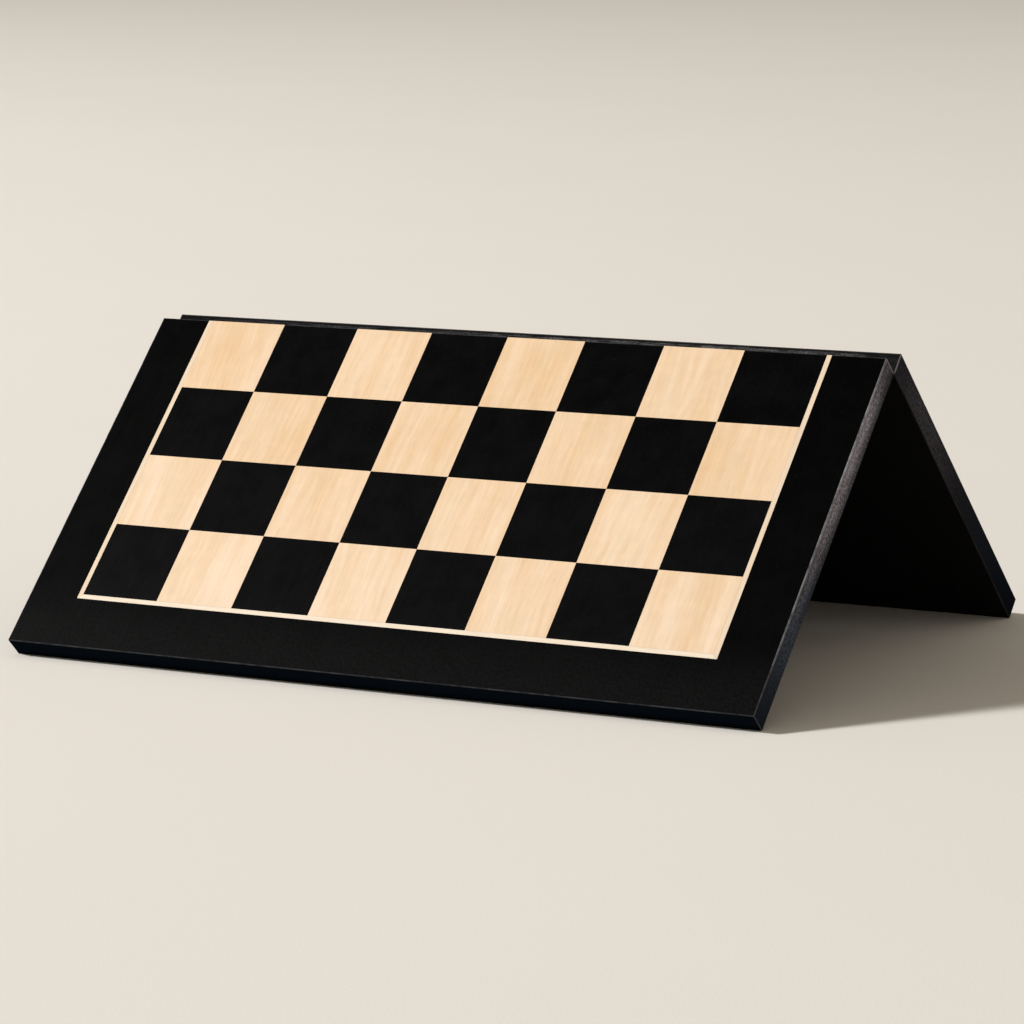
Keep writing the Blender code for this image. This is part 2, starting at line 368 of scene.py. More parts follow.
class FinishGraph:
    """The node tree of one finish."""

    def __init__(self, tree: bpy.types.NodeTree) -> None:
        """Starts from an empty tree."""
        self.tree = tree
        tree.nodes.clear()

    def node(
        self, kind: str, settings: Mapping[str, object], inputs: Mapping[Union[str, int], Operand]
    ) -> bpy.types.Node:
        """Adds a node.

        Args:
            kind: The node's type.
            settings: Its options, which are set first.
            inputs: What feeds its sockets, by name or number: a signal, a number, a colour or a vector.

        Returns:
            The node.
        """
        made = self.tree.nodes.new(kind)
        for name, value in settings.items():
            setattr(made, name, value)
        for key, value in inputs.items():
            self.feed(pick_socket(made.inputs, key), value)
        return made

    def signal(
        self,
        kind: str,
        settings: Mapping[str, object],
        inputs: Mapping[Union[str, int], Operand],
        output: str = "",
    ) -> Signal:
        """Adds a node for one of its outputs.

        Args:
            kind: The node's type.
            settings: Its options.
            inputs: What feeds its sockets.
            output: The output's name, or nothing for the first one in use.

        Returns:
            That output.
        """
        return Signal(self, pick_socket(self.node(kind, settings, inputs).outputs, output))

    def feed(self, socket: bpy.types.NodeSocket, value: Operand) -> None:
        """Links a signal to a socket, or sets the socket's own value.

        Args:
            socket: The socket to feed.
            value: A signal, a number, a colour or a vector.
        """
        if isinstance(value, Signal):
            self.tree.links.new(value.socket, socket)
            return
        if socket.type == "VECTOR" and isinstance(value, (int, float)):
            value = (value, value, value)
        elif socket.type == "RGBA":
            value = (*value, 1.0)
        socket.default_value = value

    def arithmetic(self, operation: str, first: Operand, second: Operand) -> Signal:
        """A sum, product or the like, of values or of vectors.

        Args:
            operation: The operation's name.
            first: The left side.
            second: The right side.

        Returns:
            The result.
        """
        has_vector = any(
            not part.is_value if isinstance(part, Signal) else isinstance(part, tuple)
            for part in (first, second)
        )
        kind = "ShaderNodeVectorMath" if has_vector else "ShaderNodeMath"
        return self.signal(kind, {"operation": operation}, {0: first, 1: second})

    def vector(self, x: Operand, y: Operand, z: Operand) -> Signal:
        """Joins three values into a vector."""
        return self.signal("ShaderNodeCombineXYZ", {}, {"X": x, "Y": y, "Z": z})

    def mix(self, share: Operand, first: Operand, second: Operand) -> Signal:
        """Mixes two colours.

        Args:
            share: How much of the second colour, from 0 to 1.
            first: The colour at 0.
            second: The colour at 1.

        Returns:
            The mixed colour.
        """
        settings = {"data_type": "RGBA", "clamp_factor": True}
        return self.signal("ShaderNodeMix", settings, {"Factor": share, "A": first, "B": second}, "Result")

    def noise(self, at: Signal, detail: float = 2.0, roughness: float = 0.5) -> Signal:
        """Soft noise with about one blotch per unit.

        Args:
            at: Where to read it, already scaled.
            detail: How many finer layers lie over it.
            roughness: How strong those layers are.

        Returns:
            A value from 0 to 1, mostly near 0.5.
        """
        inputs = {"Vector": at, "Scale": 1.0, "Detail": detail, "Roughness": roughness}
        return self.signal("ShaderNodeTexNoise", {"noise_dimensions": "3D"}, inputs, "Fac")

    def chance(self, at: Signal) -> Signal:
        """Random numbers that hold all over one cell.

        Args:
            at: The cell's whole-numbered place.

        Returns:
            A vector of three numbers from 0 to 1.
        """
        return self.signal("ShaderNodeTexWhiteNoise", {"noise_dimensions": "3D"}, {"Vector": at}, "Color")

    def split(self, vector: Signal) -> tuple[Signal, Signal, Signal]:
        """The three parts of a vector."""
        first = self.signal("ShaderNodeSeparateXYZ", {}, {"Vector": vector}, "X")
        return first, first.output("Y"), first.output("Z")

    def board_place(self, layout: BoardLayout) -> BoardPlace:
        """Where the shaded point lies on the open board.

        Args:
            layout: The board's sizes and fold.

        Returns:
            Its place as signals.
        """
        place = self.signal("ShaderNodeTexCoord", {}, {}, "Object")
        x, y, z = self.split(place)
        reach = abs(y)
        drop = layout.pivot_height - z
        cosine, sine = math.cos(layout.half_tilt), math.sin(layout.half_tilt)
        out = reach * cosine + drop * sine
        height = reach * sine - drop * cosine
        is_rear = self.arithmetic("GREATER_THAN", y, 0.0)
        return BoardPlace(layout, x, out, height, is_rear)


@dataclass(frozen=True)
class Finish:
    """A surface finish. Its fields are the same all over it, and paint() varies it about them."""

    name: str
    metallic: float = 0.0
    specular: float = 0.5
    roughness: float = 0.5
    relief_depth: float = 0.00003

    def paint(self, place: BoardPlace) -> Surface:
        """What varies over the finish.

        Args:
            place: Where the shaded point lies on the board.

        Returns:
            Colour, roughness and relief.
        """
        raise NotImplementedError

    def material(self, layout: BoardLayout) -> Material:
        """Makes the material.

        Args:
            layout: The board's sizes and fold.

        Returns:
            The finished material.
        """
        made = bpy.data.materials.new(self.name)
        made.use_nodes = True
        graph = FinishGraph(made.node_tree)
        surface = self.paint(graph.board_place(layout))
        relief = {"Height": surface.relief, "Distance": self.relief_depth, "Strength": 1.0}
        shader = graph.signal(
            "ShaderNodeBsdfPrincipled",
            {},
            {
                "Base Color": surface.colour,
                "Roughness": surface.roughness,
                "Normal": graph.signal("ShaderNodeBump", {}, relief),
                "Metallic": self.metallic,
                "Specular IOR Level": self.specular,
            },
        )
        graph.node("ShaderNodeOutputMaterial", {}, {"Surface": shader})
        return made


@dataclass(frozen=True)
class MapleVeneer(Finish):
    """Pale maple with soft, slightly slanting grain, each square cut from another part of the leaf."""

    roughness: float = 0.40
    honey: Colour = (0.768, 0.540, 0.325)
    cream: Colour = (0.850, 0.678, 0.508)
    straw: Colour = (0.745, 0.590, 0.405)
    fleck: Colour = (0.42, 0.22, 0.10)
    stain: Colour = (0.012, 0.010, 0.010)
    slant: float = 0.16
    wobble: float = 0.0040
    paler_towards_foot_share: float = 0.30
    fleck_share: float = 0.22
    leaf_spread: float = 40.0

    def paint(self, place: BoardPlace) -> Surface:
        """Grain, bands, flecks and a tone of its own for each square, with the fold edge stained black.

        Args:
            place: Where the shaded point lies on the board.

        Returns:
            Colour, roughness and relief.
        """
        graph, layout = place.graph, place.layout
        file = math.floor((place.x + layout.field_width / 2) / layout.square)
        row = math.floor(place.to_fold / layout.square)
        cell = graph.vector(file, row, place.is_rear)
        tone, lean, cut = graph.split(graph.chance(cell + (0.5, 0.5, 0.5)))
        shift = cut * self.leaf_spread
        bend = place.noise(15, 19, shift, 1.0) - 0.5
        leaf = replace(place, x=place.x + (lean - 0.5) * self.slant * place.out + bend * self.wobble)
        bands = leaf.noise(75, 7, shift)
        streaks = leaf.noise(330, 30, shift + 3.0, 3.0, 0.55)
        fibres = leaf.noise(1500, 90, shift + 6.0, 1.0)
        figure = place.noise(90, 190, shift + 9.0)
        drift = leaf.noise(50, 24, shift + 12.0, 1.0)
        flecks = leaf.noise(800, 95, shift + 15.0, 0.0).rise(0.83, 0.89)
        # Paler towards the outer edge.
        paler_towards_foot = place.out.rise(0.07, 0.20) * self.paler_towards_foot_share
        pale = bands.rise(0.30, 0.70) * 0.55 + (streaks - 0.5) + tone * 0.36 + paler_towards_foot - 0.03
        light = 1.0 + (streaks - 0.5) * 0.07 + (fibres - 0.5) * 0.14 + (figure - 0.5) * 0.09
        warm = graph.mix(pale, self.honey, self.cream)
        wood = graph.mix(drift.rise(0.45, 0.75) * 0.32, warm, self.straw) * light
        flecked = graph.mix(flecks * self.fleck_share, wood, self.fleck)
        colour = graph.mix(place.fold_face, flecked, self.stain)
        roughness = self.roughness + (streaks - 0.5) * 0.20
        return Surface(colour, roughness, streaks * 0.5 + fibres * 0.5)


@dataclass(frozen=True)
class InlayWood(Finish):
    """The pale strip round the field, with close grain along its length."""

    roughness: float = 0.38
    relief_depth: float = 0.00002
    grain: Grain = Grain.FROM_RIDGE
    ivory: Colour = (0.81, 0.680, 0.530)
    straw: Colour = (0.755, 0.595, 0.445)
    stain: Colour = (0.012, 0.010, 0.010)

    def paint(self, place: BoardPlace) -> Surface:
        """Close grain along the strip, with the fold edge stained black.

        Args:
            place: Where the shaded point lies on the board.

        Returns:
            Colour, roughness and relief.
        """
        graph = place.graph
        strip = replace(place, x=place.out, out=place.x) if self.grain is Grain.ALONG_RIDGE else place
        streaks = strip.noise(1300, 40, place.is_rear, 2.0, 0.6)
        bands = strip.noise(300, 18, place.is_rear + 5.0, 1.0)
        wood = graph.mix(streaks.rise(0.30, 0.70) * 0.6 + bands * 0.4, self.straw, self.ivory)
        colour = graph.mix(place.fold_face, wood * (1.0 + (streaks - 0.5) * 0.12), self.stain)
        return Surface(colour, self.roughness + (streaks - 0.5) * 0.2, streaks)


@dataclass(frozen=True)
class BlackVeneer(Finish):
    """Black-dyed veneer with a satin face, rubbed grey along its open edges, that grey also being a painted
    highlight on the arrises, and with a painted sheen towards the outer edge.
    """

    roughness: float = 0.34
    deep: Colour = (0.0006, 0.0007, 0.0009)
    soft: Colour = (0.0034, 0.0036, 0.0040)
    dust_and_sheen_grey: Colour = (0.0105, 0.0105, 0.0110)
    wear_and_highlight_grey: Colour = (0.43, 0.44, 0.485)
    end_wear_and_highlight: float = 0.95
    foot_wear_and_highlight: float = 0.11
    fold_wear_and_highlight: float = 0.16

    def edge_wear_and_highlight(self, place: BoardPlace) -> Signal:
        """How bare the open edges are rubbed, which doubles as a painted highlight along the arrises.

        Args:
            place: Where the shaded point lies on the board.

        Returns:
            A share from 0 to 1.
        """
        rub = place.noise(130, 130, place.is_rear * 9, 4.0, 0.65).rise(0.30, 0.66)
        # Partly wear and partly painted highlight: grey lines along the end, foot and fold arrises, where
        # light would catch the rounded edges.
        bare = (0.62 + 0.50 * place.end_rubbing()) * (0.65 + 0.35 * place.out.rise(0.0, 0.05))
        bare = bare * (0.25 + 0.75 * place.to_foot.rise(0.0, 0.075))
        at_end = place.to_end.rise(0.0007, 0.0003) * bare * self.end_wear_and_highlight * (1.0 - 0.7 * place.is_rear)
        at_foot = place.to_foot.rise(0.0006, 0.0002) * self.foot_wear_and_highlight
        at_fold = place.to_fold.rise(0.0005, 0.0001) * self.fold_wear_and_highlight
        return at_end.greater(at_foot).greater(at_fold) * (0.25 + 0.75 * rub)

    def paint(self, place: BoardPlace) -> Surface:
        """Faint grain under the dye, dust specks, rubbed edges that double as painted highlights, and a
        painted sheen towards the outer edge.

        Args:
            place: Where the shaded point lies on the board.

        Returns:
            Colour, roughness and relief.
        """
        graph = place.graph
        streaks = place.noise(480, 30, place.is_rear * 7, 2.0, 0.6)
        blotches = place.noise(60, 60, place.is_rear * 3, 3.0, 0.6)
        pores = place.noise(1500, 110, place.is_rear, 1.0)
        mottle = place.noise(750, 520, place.is_rear * 5, 3.0, 0.7)
        dust = place.noise(640, 640, place.is_rear, 0.0).rise(0.80, 0.88)
        tone = streaks * 0.20 + mottle.rise(0.32, 0.68) * 0.40 + blotches.rise(0.32, 0.68) * 0.40
        # Painted sheen: the dye is lighter towards the outer edge and darker by the fold.
        drift = (place.out.rise(0.0, 0.19) - 0.5) * 0.5
        # Painted sheen on the strip along the outer edge, in the same grey as the dust specks.
        painted_sheen_by_foot = place.out.rise(0.185, 0.232) * (0.25 + 0.75 * mottle.rise(0.3, 0.7))
        dyed = graph.mix(tone + drift, self.deep, self.soft)
        dusted_and_sheened = graph.mix(painted_sheen_by_foot.greater(dust) * 0.65, dyed, self.dust_and_sheen_grey)
        rubbed = self.edge_wear_and_highlight(place)
        colour = graph.mix(rubbed, dusted_and_sheened, self.wear_and_highlight_grey)
        satin = self.roughness + (blotches - 0.5) * 0.08 + (streaks - 0.5) * 0.12
        return Surface(colour, satin + rubbed * 0.3, pores * 0.6 + streaks * 0.4)


@dataclass(frozen=True)
class FibreboardEdge(Finish):
    """Sawn fibreboard, painted blue-black and rubbed grey where hands and tables touch it, with painted
    highlights along the arrises of its ends and painted shade next to the underside.
    """

    roughness: float = 0.62
    relief_depth: float = 0.00012
    black: Colour = (0.0027, 0.0046, 0.0080)
    grey: Colour = (0.0190, 0.0197, 0.0218)
    navy: Colour = (0.0165, 0.0205, 0.0300)
    slate: Colour = (0.008, 0.008, 0.0085)
    fibre: Colour = (0.555, 0.495, 0.575)
    blue_fibre: Colour = (0.31, 0.375, 0.50)
    dust: Colour = (0.50, 0.495, 0.51)
    end_share: float = 0.70
    rear_share: float = 0.13
    fold_share: float = 0.22
    left_share: float = 0.35
    painted_shade_share: float = 0.28

    def end_rub(self, place: BoardPlace, upper: Signal) -> Signal:
        """How bare the ends are rubbed: least on the rear half and at the left, and held back next to the
        underside as painted shade.

        Args:
            place: Where the shaded point lies on the board.
            upper: 0 on the front end's strip of painted shade next to the underside, 1 elsewhere.

        Returns:
            A share from 0 to 1.
        """
        painted_shade_by_height = self.painted_shade_share + (1.0 - self.painted_shade_share) * upper
        by_half = 1.0 - (1.0 - self.rear_share) * place.is_rear
        by_face = 0.75 + 0.25 * place.below_face.rise(0.0012, 0.003)
        by_rear_foot = 1.0 - 0.95 * place.is_rear * place.out.rise(0.05, 0.15)
        by_side = self.left_share + (1.0 - self.left_share) * place.x.rise(-0.1, 0.1)
        return place.end_rubbing() * self.end_share * painted_shade_by_height * by_half * by_face * by_rear_foot * by_side

    def fold_rub(self, place: BoardPlace) -> Signal:
        """How bare the mating faces are rubbed: in streaks along the ridge, and held back near its ends as
        painted shade in the V between the halves.

        Args:
            place: Where the shaded point lies on the board.

        Returns:
            A share from 0 to 1.
        """
        streaks = place.noise(70, 70, place.height * 1100, 3.0, 0.65).rise(0.36, 0.66)
        by_face = place.below_face.rise(0.0003, 0.0016)
        # Painted shade: the mating faces stay darker near the ends of the ridge.
        painted_shade_at_ends = 0.08 + 0.92 * place.to_end.rise(0.004, 0.05)
        by_side = 0.6 + 0.8 * place.x.rise(-0.12, 0.06)
        return streaks * self.fold_share * by_face * painted_shade_at_ends * by_side

    def painted_arris_highlights(self, place: BoardPlace) -> Signal:
        """Painted highlights: pale lines along the arrises of the ends.

        Args:
            place: Where the shaded point lies on the board.

        Returns:
            A share from 0 to 1.
        """
        is_front = 1.0 - place.is_rear
        foot = place.to_foot.rise(0.0009, 0.0003) * 0.09 * is_front
        ridge = place.to_fold.rise(0.0011, 0.0004) * (0.42 - 0.14 * place.is_rear)
        face = place.below_face.rise(0.0010, 0.0003) * place.to_foot.rise(0.0, 0.06) * is_front
        return foot.greater(ridge).greater(face * (0.15 + 0.40 * place.end_rubbing()))

    def paint(self, place: BoardPlace) -> Surface:
        """Fibres, saw marks, rubbed patches, painted highlights along the arrises and painted shade next to
        the underside.

        Args:
            place: Where the shaded point lies on the board.

        Returns:
            Colour, roughness and relief.
        """
        graph = place.graph
        specks = place.noise(700, 700, place.height * 700, 4.0, 0.70)
        saw = place.noise(60, 60, place.height * 1400, 2.0, 0.6)
        cloud = place.noise(70, 70, place.height * 160, 3.0, 0.6)
        at_end = place.to_end.rise(0.0006, 0.0002)
        at_fold = place.to_fold.rise(0.0006, 0.0002) * (1.0 - at_end)
        # Painted shade: near the ridge the front end's strip next to the underside stays darker and bluer.
        upper = place.height.rise(0.0015, 0.0095).greater(place.out.rise(0.15, 0.19)).greater(place.is_rear)
        low = place.out.rise(0.10, 0.20)
        rear_foot = place.is_rear * place.out.rise(0.15, 0.23)
        worn_seal = at_end * (0.5 + 0.5 * specks.rise(0.30, 0.70)) * (1.0 - 0.6 * rear_foot)
        ground = graph.mix(worn_seal, self.black, graph.mix(low, self.grey, self.navy))
        ground = graph.mix(at_fold, ground, self.slate)
        # Bluer towards the foot, and bluer in the painted shade next to the underside.
        cool = low + (1.0 - upper) * 0.3 + (cloud.rise(0.3, 0.7) - 0.5) * 0.6
        bared = graph.mix(at_fold, graph.mix(cool, self.fibre, self.blue_fibre), self.dust)
        texture = 0.30 + specks.rise(0.42, 0.72) + cloud.rise(0.30, 0.70) * 0.25 + (saw - 0.5) * 0.10
        rub = (at_end * self.end_rub(place, upper)).greater(at_fold * self.fold_rub(place))
        # Painted highlights along the arrises of the ends, in the dust colour.
        lines = self.painted_arris_highlights(place) * at_end * (0.4 + 0.6 * cloud.rise(0.3, 0.6))
        colour = graph.mix(lines, graph.mix(rub * texture, ground, bared), self.dust)
        return Surface(colour, self.roughness + (specks - 0.5) * 0.3, specks * 0.7 + saw * 0.3)


@dataclass(frozen=True)
class BackingPaper(Finish):
    """Matt black backing with a fine pressed texture and a little dust."""

    roughness: float = 0.62
    relief_depth: float = 0.00006
    black: Colour = (0.0012, 0.0012, 0.0014)
    lifted: Colour = (0.0060, 0.0060, 0.0064)
    scuff: Colour = (0.040, 0.039, 0.039)

    def paint(self, place: BoardPlace) -> Surface:
        """Pressed pebbles, scuffs and rubbed edges.

        Args:
            place: Where the shaded point lies on the board.

        Returns:
            Colour, roughness and relief.
        """
        graph = place.graph
        pebbles = graph.signal(
            "ShaderNodeTexVoronoi",
            {"feature": "DISTANCE_TO_EDGE", "voronoi_dimensions": "3D"},
            {"Vector": graph.vector(place.x * 1100, place.out * 1100, place.is_rear), "Scale": 1.0},
            "Distance",
        )
        pressed = pebbles.rise(0.02, 0.28)
        cloud = place.noise(25, 25, place.is_rear * 4, 3.0, 0.6)
        slanted = replace(place, x=place.x * 30 + place.out * 22, out=place.out * 900 - place.x * 700)
        scratches = slanted.noise(1, 1, place.is_rear).rise(0.70, 0.80) * cloud.rise(0.5, 0.7)
        to_edge = place.to_end.lesser(place.to_foot).lesser(place.to_fold)
        rim = to_edge.rise(0.0010, 0.0) * cloud.rise(0.3, 0.6)
        tone = graph.mix(pressed * 0.6 + cloud * 0.4, self.black, self.lifted)
        colour = graph.mix(scratches.greater(rim) * 0.6, tone, self.scuff)
        return Surface(colour, self.roughness + (cloud - 0.5) * 0.2 - pressed * 0.06, pressed)


@dataclass(frozen=True)
class BrushedMetal(Finish):
    """Rolled and brushed metal with a little tarnish."""

    roughness: float = 0.27
    relief_depth: float = 0.00001
    bright: Colour = (0.78, 0.57, 0.24)
    tarnish: Colour = (0.32, 0.19, 0.07)
    tarnish_share: float = 0.6

    def paint(self, place: BoardPlace) -> Surface:
        """Brush lines along the ridge and patches of tarnish.

        Args:
            place: Where the shaded point lies on the board.

        Returns:
            Colour, roughness and relief.
        """
        lines = place.noise(90, 5200, place.height * 5200, 2.0, 0.6)
        patches = place.noise(260, 260, place.height * 260, 3.0, 0.6)
        dull = patches.rise(0.45, 0.75) * self.tarnish_share
        colour = place.graph.mix(dull, self.bright, self.tarnish) * (0.9 + lines * 0.2)
        return Surface(colour, self.roughness + (lines - 0.5) * 0.15 + dull * 0.25, lines)


@dataclass(frozen=True)
class StudioFloor(Finish):
    """Warm off-white paper with a faint tooth."""

    roughness: float = 0.75
    relief_depth: float = 0.00008
    paper: Colour = (0.835, 0.815, 0.775)
    shade: Colour = (0.805, 0.782, 0.740)

    def paint(self, place: BoardPlace) -> Surface:
        """Faint tooth and clouds.

        Args:
            place: Where the shaded point lies on the board.

        Returns:
            Colour, roughness and relief.
        """
        graph = place.graph
        at = graph.signal("ShaderNodeTexCoord", {}, {}, "Object")
        cloud = graph.noise(at * 3.0, 2.0)
        tooth = graph.noise(at * 600.0, 2.0)
        colour = graph.mix(cloud * 0.6 + tooth * 0.4, self.paper, self.shade)
        return Surface(colour, self.roughness + (tooth - 0.5) * 0.1, tooth)


@dataclass(frozen=True)
class Finishes:
    """Every material of the board, made once."""

    maple: Material
    black_square: Material
    black_border: Material
    side_inlay: Material
    outer_inlay: Material
    fibreboard: Material
    backing: Material
    brass: Material
    steel: Material

    @classmethod
    def make(cls, layout: BoardLayout) -> "Finishes":
        """Makes the materials.

        Args:
            layout: The board's sizes and fold.

        Returns:
            All of them.
        """
        return cls(
            maple=MapleVeneer("maple_veneer", specular=0.20).material(layout),
            black_square=BlackVeneer("black_square_veneer", specular=0.022).material(layout),
            black_border=BlackVeneer(
                "black_border_veneer",
                specular=0.018,
                deep=(0.0005, 0.0006, 0.0007),
                soft=(0.0018, 0.0019, 0.0021),
            ).material(layout),
            side_inlay=InlayWood("side_inlay_wood", specular=0.20).material(layout),
            outer_inlay=InlayWood(
                "outer_inlay_wood",
                specular=0.20,
                grain=Grain.ALONG_RIDGE,
                ivory=(0.85, 0.765, 0.640),
                straw=(0.80, 0.685, 0.550),
            ).material(layout),
            fibreboard=FibreboardEdge("fibreboard_edge", specular=0.0).material(layout),
            backing=BackingPaper("backing_paper", specular=0.06).material(layout),
            brass=BrushedMetal("satin_brass", metallic=1.0).material(layout),
            steel=BrushedMetal(
                "plain_steel",
                metallic=1.0,
                bright=(0.56, 0.57, 0.58),
                tarnish=(0.25, 0.24, 0.23),
                tarnish_share=0.35,
            ).material(layout),
        )


def prism(outline: Sequence[Point], low: float, high: float, side: int) -> Mesh:
    """A closed sheet over an outline.

    Args:
        outline: Its corners as (x, out), in order.
        low: Height of its lower face.
        high: Height of its upper face.
        side: -1 on the front half, +1 on the rear one.

    Returns:
        The sheet, on the flat board.
    """
    bm = bmesh.new()
    bottom = [bm.verts.new((x, side * out, low)) for x, out in outline]
    top = [bm.verts.new((x, side * out, high)) for x, out in outline]
    bm.faces.new(bottom)
    bm.faces.new(top)
    for index in range(len(outline)):
        bm.faces.new((bottom[index - 1], bottom[index], top[index], top[index - 1]))
    bmesh.ops.recalc_face_normals(bm, faces=bm.faces)
    return bm


def ease(
    bm: Mesh,
    height: float,
    radius: float,
    steps: int,
    chosen: Optional[Callable[[Vector], bool]] = None,
) -> None:
    """Rounds the edges of a sheet at one of its faces.

    Args:
        bm: The sheet.
        height: Height of the face.
        radius: Radius of the rounding.
        steps: How many steps the rounding has.
        chosen: Says by the middle of an edge whether to round it. Without it, every edge is rounded.
    """
    rim = [
        edge
        for edge in bm.edges
        if all(abs(vert.co.z - height) < NEARLY for vert in edge.verts)
        and (chosen is None or chosen((edge.verts[0].co + edge.verts[1].co) / 2))
    ]
    bmesh.ops.bevel(
        bm, geom=rim, offset=radius, segments=steps, profile=0.5, affect="EDGES", clamp_overlap=True
    )


def circle(count: int) -> list[float]:
    """Angles of equal steps round a circle."""
    return [math.tau * index / count for index in range(count)]


def polar(radius: float, height: float, turn: float) -> tuple[float, float, float]:
    """A point about Z from its radius, height and angle."""
    return radius * math.cos(turn), radius * math.sin(turn), height


def skin(rings: Sequence[Sequence[Spot]], first_tip: Optional[Spot], last_tip: Optional[Spot]) -> Mesh:
    """A closed skin over rings of points.

    Args:
        rings: Rings with as many points each.
        first_tip: The point that closes the first ring.
        last_tip: The point that closes the last ring. With no tips the last ring joins the first.

    Returns:
        The mesh, with its faces pointing out.
    """
    bm = bmesh.new()
    loops = [[bm.verts.new(point) for point in ring] for ring in rings]
    pairs = list(zip(loops, loops[1:]))
    if first_tip is None:
        pairs.append((loops[-1], loops[0]))
    for ring, following in pairs:
        for index in range(len(ring)):
            bm.faces.new((ring[index - 1], ring[index], following[index], following[index - 1]))
    for tip, ring in ((first_tip, loops[0]), (last_tip, loops[-1])):
        if tip is None:
            continue
        middle = bm.verts.new(tip)
        for index in range(len(ring)):
            bm.faces.new((ring[index - 1], ring[index], middle))
    bmesh.ops.recalc_face_normals(bm, faces=bm.faces)
    return bm


def loose_object(name: str, bm: Mesh) -> bpy.types.Object:
    """An object in the scene.

    Args:
        name: Its name.
        bm: Its mesh, which is used up.

    Returns:
        The object.
    """
    mesh = bpy.data.meshes.new(name)
    bm.to_mesh(mesh)
    bm.free()
    made = bpy.data.objects.new(name, mesh)
    bpy.context.scene.collection.objects.link(made)
    return made


def combine(base: Mesh, tools: Sequence[tuple[Join, Mesh]]) -> Mesh:
    """Joins closed meshes to a base or cuts them out of it.

    Args:
        base: The mesh to start from, which is used up.
        tools: What to join or cut, in order, also used up.

    Returns:
        The result.
    """
    work = loose_object("work", base)
    helpers = [loose_object("tool", bm) for _, bm in tools]
    for (join, _), helper in zip(tools, helpers):
        step = work.modifiers.new(helper.name, "BOOLEAN")
        step.operation = join.value
        step.solver = "EXACT"
        step.object = helper
    graph = bpy.context.evaluated_depsgraph_get()
    result = bmesh.new()
    result.from_mesh(work.evaluated_get(graph).data)
    bmesh.ops.remove_doubles(result, verts=result.verts, dist=NEARLY)
    for helper in (work, *helpers):
        mesh = helper.data
        bpy.data.objects.remove(helper)
        bpy.data.meshes.remove(mesh)
    return result


def smooth(piece: bpy.types.Object, sharp_from: float = math.radians(35)) -> None:
    """Shades a piece smooth, but for its sharp edges.

    Args:
        piece: The piece.
        sharp_from: Edges that turn by more than this stay sharp.
    """
    piece.data.shade_smooth()
    piece.data.set_sharp_from_angle(angle=sharp_from)


def round_off(
    piece: bpy.types.Object, radius: float, steps: int = 2, eased_from: float = math.radians(50)
) -> None:
    """Rounds the sharp edges of a piece.

    Args:
        piece: The piece.
        radius: Radius of the rounding.
        steps: How many steps the rounding has.
        eased_from: Edges that turn by more than this are rounded.
    """
    eased = piece.modifiers.new("eased_edges", "BEVEL")
    eased.width = radius
    eased.segments = steps
    eased.limit_method = "ANGLE"
    eased.angle_limit = eased_from
    eased.harden_normals = True


@dataclass(frozen=True)
class Workshop:
    """Turns meshes into pieces that ride on the frame."""

    finishes: Finishes

    def add(
        self,
        name: str,
        bm: Mesh,
        half: Half,
        material: Material,
        slot: str,
        node: str,
    ) -> bpy.types.Object:
        """Sets a piece in its place in the tent.

        Args:
            name: The piece's name.
            bm: Its mesh on the flat board, which is used up.
            half: The half that carries it.
            material: Its finish.
            slot: The record's slot for that finish; not used.
            node: The node that it stands for.

        Returns:
            The piece.
        """
        bm.transform(half.stand)
        piece = loose_object(name, bm)
        piece.data.materials.append(material)
        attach(piece, half.body)
        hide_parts(node)
        LOG.info("piece %s rides on %s", name, half.body)
        return piece

    def dress(self, node: str, material: Material) -> None:
        """Gives a node of the frame its finish.

        Args:
            node: The node's name.
            material: Its finish.
        """
        kept = frame["nodes"][node]
        kept.data.materials.clear()
        kept.data.materials.append(material)
        LOG.info("node %s keeps its shape", node)


@dataclass(frozen=True)
class Chequer:
    """The squares of one half, each a veneer of its own."""

    half: Half
    workshop: Workshop
    seam: float = 0.00002
    eased_edge: float = 0.00003
    eased_steps: int = 2

    def outline(self, file: int, row: int) -> list[Point]:
        """Corners of a square, a hair inside its cell.

        Args:
            file: The square's column, from the left.
            row: Its row, from the fold.

        Returns:
            The corners as (x, out).
        """
        layout = self.half.layout
        seam = self.seam
        left = file * layout.square - layout.field_width / 2 + seam
        right = left + layout.square - 2 * seam
        near = layout.fold_clearance + row * layout.square + (seam if row else 0)
        far = layout.fold_clearance + (row + 1) * layout.square - seam
        return [(left, near), (right, near), (right, far), (left, far)]

    def build(self) -> None:
        """Makes and dresses every square."""
        half, layout, finishes = self.half, self.half.layout, self.workshop.finishes
        for row in range(layout.ranks_per_half):
            for file in range(layout.files):
                place = half.square_name(file, row)
                if half.is_dark(file, row):
                    slot, node, material = "dark_veneer", f"{half.name}_dark_squares", finishes.black_square
                else:
                    slot, node, material = "light_veneer", f"light_square_{place}", finishes.maple
                bm = prism(self.outline(file, row), layout.face_base, layout.play_face, half.side)
                ease(bm, layout.play_face, self.eased_edge, self.eased_steps)
                self.workshop.add(f"{slot}_{place}", bm, half, material, slot, node)


